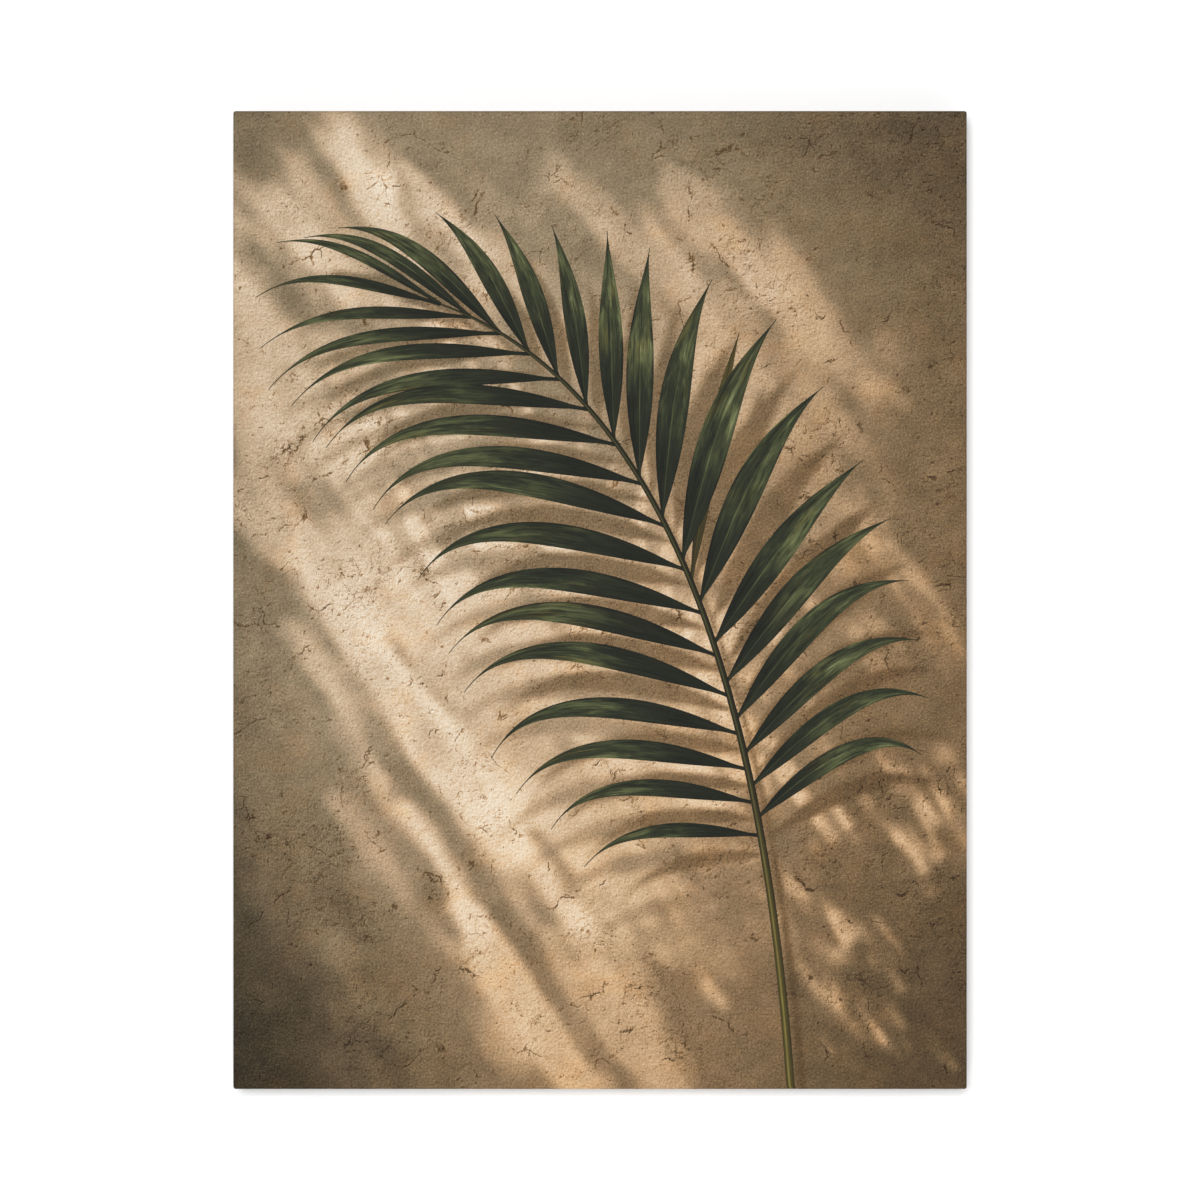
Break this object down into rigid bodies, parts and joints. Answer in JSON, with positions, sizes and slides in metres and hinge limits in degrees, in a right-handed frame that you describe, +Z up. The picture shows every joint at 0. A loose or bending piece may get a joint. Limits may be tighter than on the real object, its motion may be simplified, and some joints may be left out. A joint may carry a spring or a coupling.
{
  "type": "stretched canvas print",
  "caption": "Portrait gallery-wrapped canvas print of a palm frond on a sunlit wall, stapled over keyed pine stretcher bars, with a sawtooth hanger and wall pads behind.",
  "frame": {"origin": "where the wall's nail carries the sawtooth hanger, in the plane of the wall: the root of the hanger's middle tooth gap, moved back to the plane of the four pads' flat tops", "axes": "+Z up along the print's long side, +Y out of its back into the wall, +X to the right as seen from the front; the printed front faces -Y"},
  "size_m": [0.4572, 0.0349, 0.6096],
  "materials": {
    "printed_canvas": "matt",
    "pine": "planed, unvarnished",
    "key_wood": "sawn, unvarnished",
    "staple_steel": "bright",
    "hanger_steel": "zinc plated",
    "pad_rubber": "matt"
  },
  "bodies": {
    "root": {"canvas": "printed_canvas", "bar_bottom": "pine", "bar_right": "pine", "bar_top": "pine", "bar_left": "pine", "key_bottom_1": "key_wood", "key_bottom_2": "key_wood", "key_right_1": "key_wood", "key_right_2": "key_wood", "key_top_1": "key_wood", "key_top_2": "key_wood", "key_left_1": "key_wood", "key_left_2": "key_wood", "staple_bottom_01": "staple_steel", "staple_bottom_02": "staple_steel", "staple_bottom_03": "staple_steel", "staple_bottom_04": "staple_steel", "staple_bottom_05": "staple_steel", "staple_bottom_06": "staple_steel", "staple_bottom_07": "staple_steel", "staple_bottom_08": "staple_steel", "staple_bottom_09": "staple_steel", "staple_right_01": "staple_steel", "staple_right_02": "staple_steel", "staple_right_03": "staple_steel", "staple_right_04": "staple_steel", "staple_right_05": "staple_steel", "staple_right_06": "staple_steel", "staple_right_07": "staple_steel", "staple_right_08": "staple_steel", "staple_right_09": "staple_steel", "staple_right_10": "staple_steel", "staple_top_01": "staple_steel", "staple_top_02": "staple_steel", "staple_top_03": "staple_steel", "staple_top_04": "staple_steel", "staple_top_05": "staple_steel", "staple_top_06": "staple_steel", "staple_top_07": "staple_steel", "staple_top_08": "staple_steel", "staple_top_09": "staple_steel", "staple_left_01": "staple_steel", "staple_left_02": "staple_steel", "staple_left_03": "staple_steel", "staple_left_04": "staple_steel", "staple_left_05": "staple_steel", "staple_left_06": "staple_steel", "staple_left_07": "staple_steel", "staple_left_08": "staple_steel", "staple_left_09": "staple_steel", "staple_left_10": "staple_steel", "hanger": "hanger_steel", "hanger_nail_left": "hanger_steel", "hanger_nail_right": "hanger_steel", "wall_pad_top_left": "pad_rubber", "wall_pad_top_right": "pad_rubber", "wall_pad_bottom_left": "pad_rubber", "wall_pad_bottom_right": "pad_rubber"}
  },
  "joints": []
}
